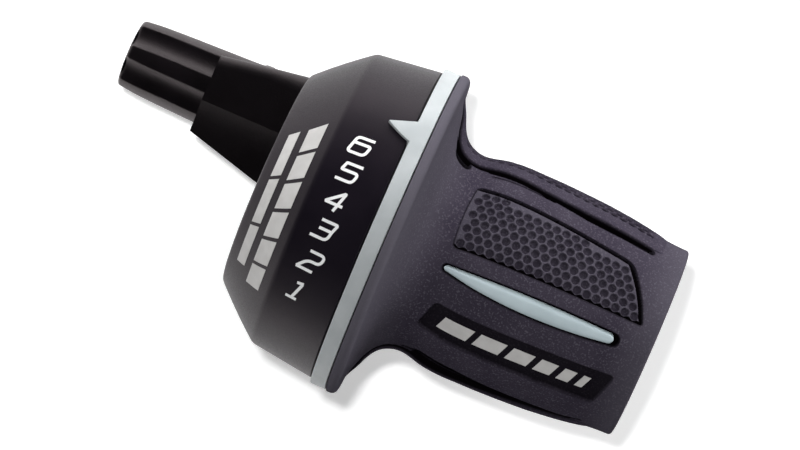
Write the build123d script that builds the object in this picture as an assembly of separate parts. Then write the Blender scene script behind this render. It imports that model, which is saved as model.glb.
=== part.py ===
from build123d import *
from math import acos, atan2, cos, degrees, hypot, radians, sin, sqrt
import os

# Twist grip shifter for the right end of a bicycle handlebar, in millimetres.
# X is the bar axis and points outboard, towards the free end of the grip.
# The origin lies on the bar axis where the indicator ring meets the rubber flange.
# Z points out of the middle of the dial. Angles round the bar count from Z towards Y.

# Handlebar and fits
bar_d = 22.2
bar_clearance = 0.05
turn_fit = 0.08
part_gap = 0.3
seam_gap = 0.1

# How far a cut runs past the face that it opens
cut_past = 1.0

# Radial build of the sleeve, the spool and the drum, each measured on the one before it
sleeve_wall = 1.15
collar_wall = 2.5
core_wall = 1.5
cable_d = 1.6
cable_seat = 0.7
spool_rim = 2.1
detent_step = 1.1
spring_room = 4.77
shell_wall = 1.7
drum_draft = 1.35
rim_lip = 2.9
cone_bulge = 0.18

# Lengths along the bar
ring_w = 2.6
ring_gap = 0.2
drum_len = 10.7
cone_len = 8.4
collar_inset = 0.2
bulkhead_t = 1.5
bulkhead_set = 0.8
rib_w = 1.2
detent_w = 2.6
groove_w = 2.0
groove_wall = 1.2
grip_len = 44.4
core_inset = 0.3
sleeve_inset = 1.1

# Cover: the plane behind the bar where it meets the housing, and its screws
parting_z = -6.5
boss_r = 1.9
boss_depth = 5.5
boss_bite = 0.5
boss_web = 1.6
cover_screw_r = 1.0
cover_screw_len = 8.0
cover_head_r = 1.7
cover_head_h = 1.5
cover_driver_w = 0.6
cover_driver_len = 2.0
cover_driver_depth = 0.8

# Clamp: split collar, socket head screw and threaded insert
clamp_slot_w = 1.6
clamp_relief_w = 0.8
clamp_relief_arc = 95.0
clamp_screw_r = 1.5
clamp_head_r = 2.75
clamp_head_h = 3.0
clamp_hex = 2.5
clamp_hex_depth = 1.6
clamp_seat_depth = 9.0
clamp_insert_wall = 0.7
clamp_insert_len = 3.0
clamp_bar_wall = 0.95
clamp_boss_r = 5.6
clamp_lug_wall = 0.8

# Indexing: six gears and one release step, a bent leaf spring and a stop lug
gear_count = 6
index_pitch = 12.2
detent_angle = 225.0
notch_r = 1.7
notch_depth = 0.95
leaf_t = 0.45
leaf_half_len = 10.0
leaf_nose_w = 1.0
leaf_nose_reach = 0.6
leaf_shoulder = 2.5
leaf_side_gap = 0.2
leaf_post_w = 2.6
stop_angle = 60.0
stop_arc = 10.0
stop_play = 1.5
stop_h = 3.0
stop_depth = 0.5
cable_end_r = 2.3
cable_end_angle = 85.0

# Indicator ring
ring_seat = 1.1
ring_proud = 0.8
pointer_angle = 35.9
pointer_root = 3.9
pointer_skew = 0.45
pointer_len = 4.15
pointer_bow = 0.4
pointer_tip_r = 0.45
pointer_drop = 0.5

# Rubber grip: flange, flare, front belly and three raised pads behind
flange_gap = 0.15
flange_proud = 0.2
flange_round = 1.0
flange_t = 1.85
rubber_wall = 2.0
flare_lean = 0.95
flare_foot = 3.4
flare_foot_rise = 1.5
waist_x = 8.4
belly_rise = 1.1
belly_x = 18.5
taper_x = 30.0
taper_drop = 0.4
tail_gap = 6.4
tail_rise = 0.3
pad_rise = 1.02
pad_end_gap = 3.4
pad_end_sink = 0.15
pad_count = 3
pad_margin = 5.0
front_top_angle = 62.0
front_low_angle = -74.5
valley_arc = 5.5

# Rubber grip: slots beside the pads and the hollow on the flare, sideways places measured from their angles
slot_depth = 1.3
slot_x = 10.4
slot_end_gap = 5.9
slot_bow = 0.5
slot_tip_w = 0.5
slot_tip_side = 1.05
slot_w = 1.3
slot_end_w = 1.5
slot_end_side = -1.3
low_slot_w = 2.7
low_slot_tip_w = 1.0
hollow_x = 5.8
hollow_angle = 63.5
hollow_r = 1.9
hollow_depth = 2.0

# Rubber grip: groove round the thumb tread, inlay and sunk panel
tread_groove_w = 0.5
tread_groove_depth = 0.6
tread_angle = 26.0
tread_x = 9.9
tread_end_gap = 2.9
tread_w = 11.2
tread_taper = 1.5
tread_end_slant = 5.0
tread_round = 0.8
inlay_depth = 1.1
inlay_sink = 0.1
inlay_angle = -6.9
inlay_x = 9.9
inlay_end_gap = 7.0
inlay_tip_w = 1.1
inlay_w = 2.55
inlay_end_w = 1.9
inlay_room = 0.2
inlay_end_room = 0.7
panel_depth = 0.5
panel_angle = -38.3
panel_x = 8.9
panel_end_gap = 3.4
panel_slant = 1.7
panel_w = 6.3
panel_round = 0.8

# Cable neck and adjuster
cable_offset = 9.95
neck_bar_gap = 0.6
neck_wall = 1.2
neck_back_wall = 1.4
neck_len = 15.5
neck_pocket = 8.9
neck_lip = 0.55
neck_open = 2.05
neck_low_slope = 0.262
neck_top_slope = 0.165
neck_round = 2.0
neck_root_round = 5.0
neck_root_depth = 10.4
duct_r = 1.1
knob_len = 22.9
knob_tip_r = 6.0
knob_shoulder = 3.5
knob_shoulder_r = 6.4
knob_base_r = 7.1
knob_tip_round = 0.8
knob_end_gap = 0.5
knob_collar = 2.5
flute_count = 6
flute_r = 3.6
flute_depth = 1.0
flute_angle = 38.5
housing_seat_r = 2.6
housing_seat_depth = 8.0
stem_r = 2.9
stem_len = 6.4
stem_fit = 0.05
spring_wire = 0.8
spring_coil_r = 4.1
spring_len = 4.4
spring_turns = 3.5
spring_pocket_gap = 0.4

# Radii worked out from the handlebar outwards
bore_r = bar_d / 2 + bar_clearance
sleeve_r = bore_r + sleeve_wall
collar_r = sleeve_r + collar_wall
spool_bore_r = sleeve_r + turn_fit
core_r = spool_bore_r + core_wall
cable_r = core_r + cable_seat + cable_d / 2
spool_r = cable_r + spool_rim
detent_r = spool_r + detent_step
crease_r = detent_r + spring_room + shell_wall
mouth_r = crease_r + drum_draft
rim_r = collar_r + rim_lip
disc_r = mouth_r - ring_seat
ring_r = mouth_r + ring_proud
flange_r = ring_r + flange_proud
waist_r = core_r + rubber_wall
belly_r = waist_r + belly_rise

# Stations along the bar
x_disc = -ring_w
x_mouth = x_disc - ring_gap
x_crease = x_mouth - drum_len
x_rim = x_crease - cone_len
x_collar = x_rim + collar_inset
x_wall = x_crease + bulkhead_set
x_spool = x_wall + part_gap
x_rib = x_disc - part_gap
x_detent = x_rib - rib_w - part_gap
x_groove = x_detent - detent_w - groove_wall - groove_w / 2
x_front = x_wall - bulkhead_t - clamp_relief_w
far = 4 * flange_r
grip_travel = index_pitch * gear_count

# Cable line behind the bar
pocket_r = knob_base_r + part_gap
neck_reach = bore_r + neck_bar_gap + neck_wall + pocket_r
cable_y = cable_offset
cable_z = -sqrt(neck_reach ** 2 - cable_offset ** 2)
x_neck = x_rim - neck_len
x_pocket = x_neck + neck_pocket
x_knob = x_pocket - knob_end_gap
x_tip = x_knob - knob_len

# Places of the screws
clamp_insert_r = clamp_screw_r + clamp_insert_wall
clamp_x = x_front - clamp_insert_r - part_gap
clamp_y = -(bore_r + clamp_bar_wall + clamp_insert_r)
cover_screw_x = x_wall + part_gap + boss_r
cover_screw_y = sqrt((crease_r - shell_wall) ** 2 - parting_z ** 2) - boss_r + boss_bite


def angled(angle):
    """Turns a piece that is drawn at the top of the dial to an angle round the bar."""
    return Rot(X=-angle)


def turned(*outline, start=180.0, arc=360.0):
    """Solid turned about the bar from (x, radius) points, from one angle downwards by an arc."""
    face = Plane.XZ * make_face(Polyline(*outline, close=True))
    return angled(start) * revolve(face, Axis.X, arc)


def tube(x0, x1, inner, outer, start=180.0, arc=360.0):
    """Plain ring or ring sector about the bar."""
    return turned((x0, inner), (x1, inner), (x1, outer), (x0, outer), start=start, arc=arc)


def block(x0, x1, y0, y1, z0, z1):
    """Box from its low and high corners."""
    centre = Pos((x0 + x1) / 2, (y0 + y1) / 2, (z0 + z1) / 2)
    return centre * Box(x1 - x0, y1 - y0, z1 - z0)


def post(x, y, z0, z1, radius):
    """Upright cylinder between two heights."""
    return Pos(x, y, (z0 + z1) / 2) * Cylinder(radius, z1 - z0)


def rod(x0, x1, radius, y=cable_y, z=cable_z):
    """Cylinder parallel to the bar, on the cable line unless told otherwise."""
    return Pos((x0 + x1) / 2, y, z) * Rot(Y=90) * Cylinder(radius, x1 - x0)


def radius_on(points, x):
    """Radius at x on a chain of (x, radius) points."""
    for (xa, ra), (xb, rb) in zip(points, points[1:]):
        if xa <= x <= xb:
            return ra + (rb - ra) * (x - xa) / (xb - xa)
    return points[-1][1]


# Drum and cone

def drum_solid():
    """Everything inside the outer face of the drum and its gently crowned cone."""
    middle = ((x_rim + x_crease) / 2, (rim_r + crease_r) / 2)
    slant = hypot(cone_len, crease_r - rim_r)
    crown = (
        middle[0] - cone_bulge * (crease_r - rim_r) / slant,
        middle[1] + cone_bulge * cone_len / slant,
    )
    edges = [
        Line((x_mouth, 0), (x_mouth, mouth_r)),
        Line((x_mouth, mouth_r), (x_crease, crease_r)),
        ThreePointArc((x_crease, crease_r), crown, (x_rim, rim_r)),
        Line((x_rim, rim_r), (x_rim, 0)),
        Line((x_rim, 0), (x_mouth, 0)),
    ]
    return revolve(Plane.XZ * make_face(edges), Axis.X, 360)


def drum_inside(inset=0.0):
    """The room inside the drum wall, smaller all round by an inset."""
    wall_across = shell_wall * hypot(cone_len, crease_r - rim_r) / cone_len
    wall_in = shell_wall + inset
    x_back = x_rim + wall_in
    cone_r = radius_on([(x_rim, rim_r), (x_crease, crease_r)], x_back)
    outline = [
        (x_back, 0),
        (x_mouth, 0),
        (x_mouth, mouth_r - wall_in),
        (x_crease, crease_r - (shell_wall + wall_across) / 2 - inset),
        (x_back, cone_r - wall_across - inset),
    ]
    return turned(*outline)


def drum_shell(lip_r):
    """The wall of the drum, open at its mouth and with a lip round the collar at its rim."""
    return drum_solid() - drum_inside() - tube(x_rim - cut_past, x_mouth, 0, lip_r)


def behind(z):
    """Half of space behind a plane across the dial's axis."""
    return block(-far, far, -far, far, -far, z)


def cover_screw_places():
    return [(cover_screw_x, side * cover_screw_y) for side in (-1, 1)]


def cover_seat_z():
    """Height of the shoulder that a cover screw's head pulls on."""
    outside = radius_on([(x_crease, crease_r), (x_mouth, mouth_r)], cover_screw_x)
    edge = cover_screw_y + cover_head_r
    return -sqrt(outside ** 2 - edge ** 2) + cover_head_h + seam_gap


def make_dial_cover():
    cover = drum_shell(collar_r + part_gap) - behind(parting_z + seam_gap)
    rib = tube(x_rib - rib_w, x_rib, core_r + cable_seat + cable_d + part_gap, crease_r)
    cover += (rib & drum_solid()) - behind(parting_z + seam_gap)
    low = parting_z + seam_gap
    high = parting_z + boss_depth
    top = cover_seat_z() + cover_screw_len + part_gap
    for x, y in cover_screw_places():
        wall_y = mouth_r if y > 0 else -mouth_r
        boss = post(x, y, low, high, boss_r)
        boss += block(x - boss_web / 2, x + boss_web / 2, min(y, wall_y), max(y, wall_y), low, high)
        cover += boss & drum_solid()
        cover -= post(x, y, parting_z - cut_past, top, cover_screw_r)
    return cover


# Clamp housing with sleeve, bulkhead, rear shell and cable neck

def neck_section(x, front, back, corner):
    """Rounded rectangle across the neck, widening from its mouth towards the drum."""
    run = x - x_neck
    low = cable_y - pocket_r - neck_lip - neck_low_slope * run
    top = cable_y + pocket_r - neck_open + neck_top_slope * run
    plane = Plane(origin=(x, 0, 0), x_dir=(0, 1, 0), z_dir=(1, 0, 0))
    centre = Pos((low + top) / 2, (front + back) / 2)
    corner = min(corner, (top - low) / 2 - seam_gap, (front - back) / 2 - seam_gap)
    return plane * centre * RectangleRounded(top - low, front - back, corner)


def make_neck():
    front = cable_z + pocket_r + neck_wall
    back = cable_z - pocket_r - neck_back_wall
    sections = [
        neck_section(x_neck, front, back, neck_round),
        neck_section(x_pocket, front, back, neck_round),
        neck_section(x_wall, front, front - neck_root_depth, neck_root_round),
    ]
    return loft(sections, ruled=True)


def cable_duct():
    """Quarter bend that leads the cable from the spool's groove to the stem."""
    reach = sqrt(neck_reach ** 2 - cable_r ** 2)
    leave_angle = radians(degrees(atan2(cable_y, cable_z)) - degrees(acos(cable_r / neck_reach)))
    leave = (cable_r * sin(leave_angle), cable_r * cos(leave_angle))
    along = ((leave[0] - cable_y) / reach, (leave[1] - cable_z) / reach)

    def on_bend(turn):
        x = x_groove - reach + reach * sin(radians(turn))
        step = reach * (1 - cos(radians(turn)))
        return (x, cable_y + along[0] * step, cable_z + along[1] * step)

    bend = ThreePointArc(on_bend(0), on_bend(45), on_bend(90))
    start = Plane(origin=on_bend(0), z_dir=(1, 0, 0))
    straight = rod(x_pocket, x_groove - reach, duct_r)
    return sweep(start * Circle(duct_r), path=bend) + straight


def clamp_lug():
    """Lug on both sides of the collar's slot, trimmed to the room under the cover."""
    reach_y = clamp_y - clamp_insert_r - clamp_lug_wall
    top = clamp_slot_w / 2 + clamp_insert_len + clamp_lug_wall
    half = clamp_insert_r + clamp_lug_wall
    lug = block(clamp_x - half, clamp_x + half, reach_y, 0, -clamp_seat_depth, top)
    return lug & drum_inside(part_gap)


def leaf_seat():
    """Height of the leaf's outer face above the detent drum."""
    return leaf_shoulder / 2 + leaf_t / 2 - leaf_nose_reach / 2 + part_gap / 2


def leaf_posts():
    """Two posts on the rear shell that the ends of the leaf spring bear on."""
    seat = detent_r + leaf_seat()
    x1 = x_detent - leaf_side_gap
    x0 = x_detent - detent_w + leaf_side_gap
    posts = [
        block(x0, x1, side - leaf_post_w / 2, side + leaf_post_w / 2, seat, crease_r)
        for side in (leaf_half_len - leaf_post_w / 2, leaf_post_w / 2 - leaf_half_len)
    ]
    return [(angled(detent_angle) * piece) & drum_solid() for piece in posts]


def make_housing():
    head_z = -clamp_seat_depth - clamp_head_h
    body = tube(x_collar, grip_len - sleeve_inset, 0, sleeve_r)
    body += tube(x_collar, x_wall, 0, collar_r)
    body += tube(x_wall - bulkhead_t, x_wall, 0, crease_r) & drum_inside(part_gap)
    body += drum_shell(collar_r - shell_wall) & behind(parting_z)
    body += clamp_lug()
    body += post(clamp_x, clamp_y, head_z, parting_z, clamp_boss_r) - tube(x_wall, 0, 0, far)
    for x, y in cover_screw_places():
        body += post(x, y, cover_seat_z() - cover_head_h, parting_z, boss_r) & drum_solid()
    for piece in leaf_posts():
        body += piece
    body += make_neck()

    # Bar bore, room for the bar beside the neck, and the knob's pocket with its threaded hole
    body -= rod(x_collar - cut_past, grip_len, bore_r, y=0, z=0)
    body -= rod(x_tip, x_collar, bore_r + neck_bar_gap, y=0, z=0)
    body -= rod(x_neck - cut_past, x_pocket, pocket_r)
    body -= rod(x_pocket - cut_past, x_knob + stem_len + part_gap, stem_r + stem_fit)
    body -= cable_duct()

    # Clamp: slot through the collar, relief beside the bulkhead, screw hole, head room and insert seat
    x_relief = x_front + clamp_relief_w
    relief_from = clamp_relief_arc - 90
    half_slot = clamp_slot_w / 2
    body -= block(x_collar - cut_past, x_relief, -crease_r, 0, -half_slot, half_slot)
    body -= tube(x_front, x_relief, 0, crease_r, start=relief_from, arc=clamp_relief_arc)
    body -= post(clamp_x, clamp_y, -clamp_seat_depth - cut_past, crease_r, clamp_screw_r + seam_gap)
    body -= post(clamp_x, clamp_y, -far, -clamp_seat_depth, clamp_head_r + part_gap)
    body -= post(clamp_x, clamp_y, half_slot + clamp_lug_wall, crease_r, clamp_insert_r)

    # Holes for the cover screws and the groove of the stop lug
    for x, y in cover_screw_places():
        body -= post(x, y, -far, cover_seat_z(), cover_head_r + part_gap)
        body -= post(x, y, -far, parting_z + cut_past, cover_screw_r + seam_gap)
    stop_from = stop_angle + stop_arc / 2 + stop_play
    stop_sweep = stop_arc + grip_travel + 2 * stop_play
    floor = x_wall - stop_depth - part_gap
    low = core_r - part_gap
    high = core_r + stop_h + part_gap
    body -= tube(floor, x_wall, low, high, start=stop_from, arc=stop_sweep)
    return body


# Clamp and cover fasteners

def make_clamp_screw():
    length = clamp_seat_depth + clamp_slot_w / 2 + clamp_lug_wall + clamp_insert_len
    seat = -clamp_seat_depth
    screw = post(clamp_x, clamp_y, seat, seat + length, clamp_screw_r)
    screw += post(clamp_x, clamp_y, seat - clamp_head_h, seat, clamp_head_r)
    socket = extrude(RegularPolygon(clamp_hex / 2, 6, major_radius=False), clamp_hex_depth)
    return screw - Pos(clamp_x, clamp_y, seat - clamp_head_h) * socket


def make_clamp_insert():
    low = clamp_slot_w / 2 + clamp_lug_wall
    high = low + clamp_insert_len
    insert = post(clamp_x, clamp_y, low, high, clamp_insert_r)
    return insert - post(clamp_x, clamp_y, low - cut_past, high + cut_past, clamp_screw_r)


def make_cover_screws():
    seat = cover_seat_z()
    low = seat - cover_head_h
    cross = Box(cover_driver_len, cover_driver_w, cover_driver_depth)
    cross += Box(cover_driver_w, cover_driver_len, cover_driver_depth)
    screws = []
    for x, y in cover_screw_places():
        screw = post(x, y, seat, seat + cover_screw_len, cover_screw_r)
        screw += post(x, y, low, seat, cover_head_r)
        screw -= Pos(x, y, low + cover_driver_depth / 2) * cross
        screws.append(screw)
    return Compound(children=screws)


# Indexing spring

def make_detent_spring():
    """Flat leaf with a blunt nose that drops into the notch of the gear at rest."""
    outer = detent_r + leaf_seat()
    inner = outer - leaf_t
    nose = detent_r - leaf_nose_reach
    half = leaf_nose_w / 2
    face = make_face(
        Polyline(
            (-leaf_half_len, inner),
            (-leaf_shoulder, inner),
            (-half, nose),
            (half, nose),
            (leaf_shoulder, inner),
            (leaf_half_len, inner),
            (leaf_half_len, outer),
            (leaf_shoulder - leaf_t / 2, outer),
            (half - leaf_t / 4, nose + leaf_t),
            (leaf_t / 4 - half, nose + leaf_t),
            (leaf_t / 2 - leaf_shoulder, outer),
            (-leaf_half_len, outer),
            close=True,
        )
    )
    width = detent_w - 2 * leaf_side_gap
    x0 = x_detent - detent_w + leaf_side_gap
    plane = Plane(origin=(x0, 0, 0), x_dir=(0, 1, 0), z_dir=(1, 0, 0))
    return angled(detent_angle) * extrude(plane * face, width)


# Cable adjuster

def make_barrel_adjuster():
    """Tapered, fluted knob on a stem, with a seat for the cable housing in its tip."""
    outline = [
        (x_tip, 0),
        (x_tip, knob_tip_r - knob_tip_round),
        (x_tip + knob_tip_round, knob_tip_r),
        (x_tip + knob_shoulder, knob_shoulder_r),
        (x_knob, knob_base_r),
        (x_knob, 0),
    ]
    knob = turned(*outline)
    slope = degrees(atan2(knob_base_r - knob_shoulder_r, knob_len - knob_shoulder))
    middle_r = (knob_base_r + knob_shoulder_r) / 2
    middle_x = x_knob - (knob_len - knob_shoulder) / 2
    flute_z = middle_r + flute_r - flute_depth
    flute = Pos(middle_x, 0, flute_z) * Rot(Y=90 - slope) * Cylinder(flute_r, 2 * knob_len)
    flute &= block(-far, x_knob - knob_collar, -far, far, 0, far)
    for n in range(flute_count):
        knob -= angled(flute_angle + 360 / flute_count * n) * flute

    # Ring-shaped room for the spring, stem, cable hole and seat of the cable housing
    spring_room_r = spring_coil_r + spring_wire / 2 + spring_pocket_gap
    spring_depth = spring_len - knob_end_gap + 2 * seam_gap
    knob -= tube(x_knob - spring_depth, x_knob + cut_past, stem_r, spring_room_r)
    knob += tube(x_knob - cut_past, x_knob + stem_len, duct_r, stem_r)
    knob -= tube(x_tip - cut_past, x_knob + stem_len + cut_past, 0, duct_r)
    knob -= tube(x_tip - cut_past, x_tip + housing_seat_depth, 0, housing_seat_r)
    return Pos(0, cable_y, cable_z) * knob


def make_adjuster_spring():
    start_x = x_pocket - seam_gap - spring_wire / 2
    run = spring_len - spring_wire
    coil = Helix(run / spring_turns, run, spring_coil_r, direction=(0, 0, 1))
    section = Plane(origin=coil @ 0, z_dir=coil % 0) * Circle(spring_wire / 2)
    wire = sweep(section, path=coil)
    return Pos(start_x, cable_y, cable_z) * Rot(Y=-90) * wire


# Turning side

def make_cable_spool():
    """Core of the grip with cable groove, notched detent drum, disc for the ring and stop lug."""
    groove_left = x_groove - groove_w / 2
    groove_right = x_groove + groove_w / 2
    floor = cable_r - cable_d / 2
    hub = core_r + cable_seat + cable_d
    outline = [
        (x_spool, spool_bore_r),
        (x_spool, spool_r),
        (groove_left, spool_r),
        (groove_left, cable_r),
        (x_groove - cable_d / 4, floor),
        (x_groove + cable_d / 4, floor),
        (groove_right, cable_r),
        (groove_right, spool_r),
        (x_detent - detent_w, spool_r),
        (x_detent - detent_w, detent_r),
        (x_detent, detent_r),
        (x_detent, hub),
        (x_disc, hub),
        (x_disc, disc_r),
        (0, disc_r),
        (0, core_r),
        (grip_len - core_inset, core_r),
        (grip_len - core_inset, spool_bore_r),
    ]
    spool = turned(*outline)
    notch = rod(x_detent - detent_w, x_detent, notch_r, y=0, z=detent_r - notch_depth + notch_r)
    for n in range(gear_count + 1):
        spool -= angled(detent_angle + index_pitch * n) * notch
    lug_end = x_wall - stop_depth
    lug_from = stop_angle + stop_arc / 2
    spool += tube(lug_end, x_spool + cut_past, core_r, core_r + stop_h, start=lug_from, arc=stop_arc)
    pocket = rod(x_spool - cut_past, groove_right, cable_end_r, y=0, z=cable_r + part_gap)
    spool -= angled(cable_end_angle) * pocket
    return spool


def make_indicator_ring():
    """Pale ring with a blunt pointer that runs clear of the cover and follows its draft."""
    tip_x = x_disc - pointer_len
    root_x = x_disc + ring_w / 2
    low = -pointer_root / 2 - pointer_skew
    high = pointer_root / 2 - pointer_skew
    shoulder_x = tip_x + pointer_tip_r
    belly = ((x_disc + shoulder_x) / 2, (low - pointer_tip_r) / 2 - pointer_bow)
    outline = Polyline(
        (x_disc, low), (root_x, low), (root_x, high), (x_disc, high), (shoulder_x, pointer_tip_r)
    )
    outline += ThreePointArc((shoulder_x, pointer_tip_r), (tip_x, 0), (shoulder_x, -pointer_tip_r))
    outline += ThreePointArc((shoulder_x, -pointer_tip_r), belly, (x_disc, low))
    blade = extrude(make_face(outline), far)
    under_tip = radius_on([(x_crease, crease_r), (x_mouth, mouth_r)], tip_x) + part_gap
    under_root = mouth_r + part_gap
    layer = turned(
        (tip_x, under_tip),
        (x_mouth, under_root),
        (root_x, under_root),
        (root_x, ring_r),
        (x_disc, ring_r),
        (tip_x, ring_r - pointer_drop),
    )
    return tube(x_disc, 0, disc_r, ring_r) + angled(pointer_angle) * (blade & layer)


def grip_curve(sink):
    """Outer line of the rubber from the flange over the flare and the belly to the free end."""
    points = [
        (flange_t, flange_r - flange_round),
        (flange_t + flare_lean, (flange_r + waist_r) / 2),
        (waist_x - flare_foot, waist_r + flare_foot_rise),
        (waist_x, waist_r),
        (belly_x, belly_r),
        (taper_x, belly_r - taper_drop),
        (grip_len - tail_gap, waist_r + tail_rise),
        (grip_len, waist_r),
    ]
    return [(x, r - sink) for x, r in points]


def grip_solid(sink=0.0):
    """All that lies inside the rubber's outer face, or inside a recess's floor sunk below it."""
    curve = grip_curve(sink)
    top = flange_r - sink
    edges = [
        Line((flange_gap, 0), (flange_gap, top)),
        Line((flange_gap, top), (flange_t - flange_round, top)),
        RadiusArc((flange_t - flange_round, top), curve[0], flange_round),
        Spline(*curve, tangents=((0, -1), (1, 0))),
        Line(curve[-1], (grip_len, 0)),
        Line((grip_len, 0), (flange_gap, 0)),
    ]
    return revolve(Plane.XZ * make_face(edges), Axis.X, 360)


def pad_solid(start, arc):
    """Raised pad behind, which rises out of the flare and sinks into the rubber near the free end."""
    foot_r = core_r + rubber_wall / 2
    x_root = flange_t - pad_rise / 2
    x_end = grip_len - pad_end_gap
    curve = [
        (x_root, flange_r - flange_round - pad_rise),
        (flange_t + flare_lean + pad_rise / 2, (flange_r + waist_r) / 2),
        (waist_x - flare_foot + pad_rise / 2, waist_r + flare_foot_rise + pad_rise / 2),
        (waist_x, waist_r + pad_rise),
        (belly_x, belly_r + pad_rise),
        (taper_x, belly_r - taper_drop + pad_rise),
        (x_end, waist_r - pad_end_sink),
    ]
    edges = [
        Spline(*curve),
        Line(curve[-1], (x_end, foot_r)),
        Line((x_end, foot_r), (x_root, foot_r)),
        Line((x_root, foot_r), curve[0]),
    ]
    return angled(start) * revolve(Plane.XZ * make_face(edges), Axis.X, arc)


def stamp(outline, angle):
    """Prism over a flat outline of (x, sideways) points, standing outwards at an angle."""
    return angled(angle) * extrude(outline, far)


def bowed_outline(x0, x1, start, middle, end):
    """Long outline with round ends, from its sideways place and width at the start, middle and end."""
    (side0, w0), (side1, w1), (side2, w2) = start, middle, end
    x_mid = (x0 + x1) / 2
    edges = [
        ThreePointArc((x0, side0 - w0 / 2), (x_mid, side1 - w1 / 2), (x1, side2 - w2 / 2)),
        ThreePointArc((x1, side2 - w2 / 2), (x1 + w2 / 2, side2), (x1, side2 + w2 / 2)),
        ThreePointArc((x1, side2 + w2 / 2), (x_mid, side1 + w1 / 2), (x0, side0 + w0 / 2)),
        ThreePointArc((x0, side0 + w0 / 2), (x0 - w0 / 2, side0), (x0, side0 - w0 / 2)),
    ]
    return make_face(edges)


def top_slot_outline():
    start = (slot_tip_side, slot_tip_w)
    end = (slot_end_side, slot_end_w)
    return bowed_outline(slot_x, grip_len - slot_end_gap, start, (slot_bow, slot_w), end)


def low_slot_outline():
    tip = (0, low_slot_tip_w)
    return bowed_outline(slot_x, grip_len - slot_end_gap, tip, (0, low_slot_w), tip)


def inlay_outline(room=0.0, end_room=0.0):
    """Blunt lens, or the seat round it with room at its sides and its outboard end."""
    x1 = grip_len - inlay_end_gap + end_room
    widths = [(0, w + 2 * room) for w in (inlay_tip_w, inlay_w, inlay_end_w)]
    return bowed_outline(inlay_x, x1, *widths)


def tread_groove():
    """Groove round the thumb tread, whose outboard end is slanted."""
    end = grip_len - tread_end_gap
    half = tread_w / 2
    corners = Polyline(
        (tread_x, -half),
        (end, -half),
        (end - tread_end_slant, half - tread_taper),
        (tread_x, half),
        close=True,
    )
    outline = make_face(corners)
    outline = fillet(outline.vertices(), tread_round)
    return outline - offset(outline, -tread_groove_w)


def panel_outline():
    """Slanted panel with rounded corners beside the inlay."""
    x1 = grip_len - panel_end_gap
    half = panel_w / 2
    corners = Polyline(
        (panel_x, -half), (x1 - panel_slant, -half), (x1, half), (panel_x + panel_slant, half), close=True
    )
    outline = make_face(corners)
    return fillet(outline.vertices(), panel_round)


def make_grip_rubber():
    rubber = grip_solid()
    hollow = stamp(Pos(hollow_x, 0) * Circle(hollow_r), hollow_angle)
    rubber -= hollow - grip_solid(sink=hollow_depth)

    # Pads from one front slot round the back to the other, with a valley between neighbours
    first = front_top_angle + pad_margin
    last = 360 + front_low_angle - pad_margin
    pitch = (last - first + valley_arc) / pad_count
    for n in range(1, pad_count + 1):
        rubber += pad_solid(first + pitch * n - valley_arc, pitch - valley_arc)
    recesses = [
        (top_slot_outline(), front_top_angle, slot_depth),
        (low_slot_outline(), front_low_angle, slot_depth),
        (tread_groove(), tread_angle, tread_groove_depth),
        (inlay_outline(inlay_room, inlay_end_room), inlay_angle, inlay_depth),
        (panel_outline(), panel_angle, panel_depth),
    ]
    for outline, angle, depth in recesses:
        rubber -= stamp(outline, angle) - grip_solid(sink=depth)
    return rubber - rod(-cut_past, grip_len + cut_past, core_r, y=0, z=0)


def make_grip_inlay():
    body = stamp(inlay_outline(), inlay_angle) & grip_solid(sink=inlay_sink)
    return body - grip_solid(sink=inlay_depth)


pieces = {
    "housing": make_housing(),
    "dial_cover": make_dial_cover(),
    "cover_screws": make_cover_screws(),
    "clamp_screw": make_clamp_screw(),
    "clamp_insert": make_clamp_insert(),
    "detent_spring": make_detent_spring(),
    "adjuster_spring": make_adjuster_spring(),
    "barrel_adjuster": make_barrel_adjuster(),
    "cable_spool": make_cable_spool(),
    "indicator_ring": make_indicator_ring(),
    "grip_rubber": make_grip_rubber(),
    "grip_inlay": make_grip_inlay(),
}
os.makedirs("parts", exist_ok=True)
for name, piece in pieces.items():
    export_step(piece, f"parts/{name}.step")
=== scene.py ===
from math import cos, radians, sin

import bpy
import numpy as np
from mathutils import Matrix, Vector


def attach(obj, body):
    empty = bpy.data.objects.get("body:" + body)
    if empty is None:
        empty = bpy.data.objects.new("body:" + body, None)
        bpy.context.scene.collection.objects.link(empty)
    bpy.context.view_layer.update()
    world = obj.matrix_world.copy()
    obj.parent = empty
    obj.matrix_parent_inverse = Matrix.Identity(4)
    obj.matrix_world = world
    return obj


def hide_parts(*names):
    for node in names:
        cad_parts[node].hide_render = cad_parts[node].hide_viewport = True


# Looks of the twist grip shifter. Sizes are in millimetres and angles in degrees.
# X runs along the bar to the free end of the grip and Z out of the dial. Angles count from Z towards Y.

MM = 0.001

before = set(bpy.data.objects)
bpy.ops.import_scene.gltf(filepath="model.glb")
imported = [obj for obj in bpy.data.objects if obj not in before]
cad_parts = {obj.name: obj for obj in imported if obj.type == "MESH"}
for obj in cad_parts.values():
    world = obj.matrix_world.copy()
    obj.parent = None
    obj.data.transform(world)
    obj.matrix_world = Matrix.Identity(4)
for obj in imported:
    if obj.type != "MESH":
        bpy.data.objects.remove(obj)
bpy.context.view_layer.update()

# Camera: where it stands, where it looks, and how far it leans round its own axis
camera_foot = Vector((18.3, 1.5, 573.0))
camera_aim = Vector((0.5, 1.5, 0.0))
camera_roll = 23.4
camera_lens = 162.0
camera_clip = 10000
sensor_width = 36.0

# Floor: its height and colour, and its glow near the part, which grows to white between two distances
floor_z = -27.6
floor_size = 4000
floor_grey = 0.93
floor_glow = 0.4
glow_reach = (150, 600)

# Light of the room: strength in front of the dial and round its sides, share below and above the part,
# and how far out of the side plane the strength of the front is reached
front_light = 0.02
side_light = 0.82
low_share = 0.2
top_share = 1.4
front_reach = 0.6

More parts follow.
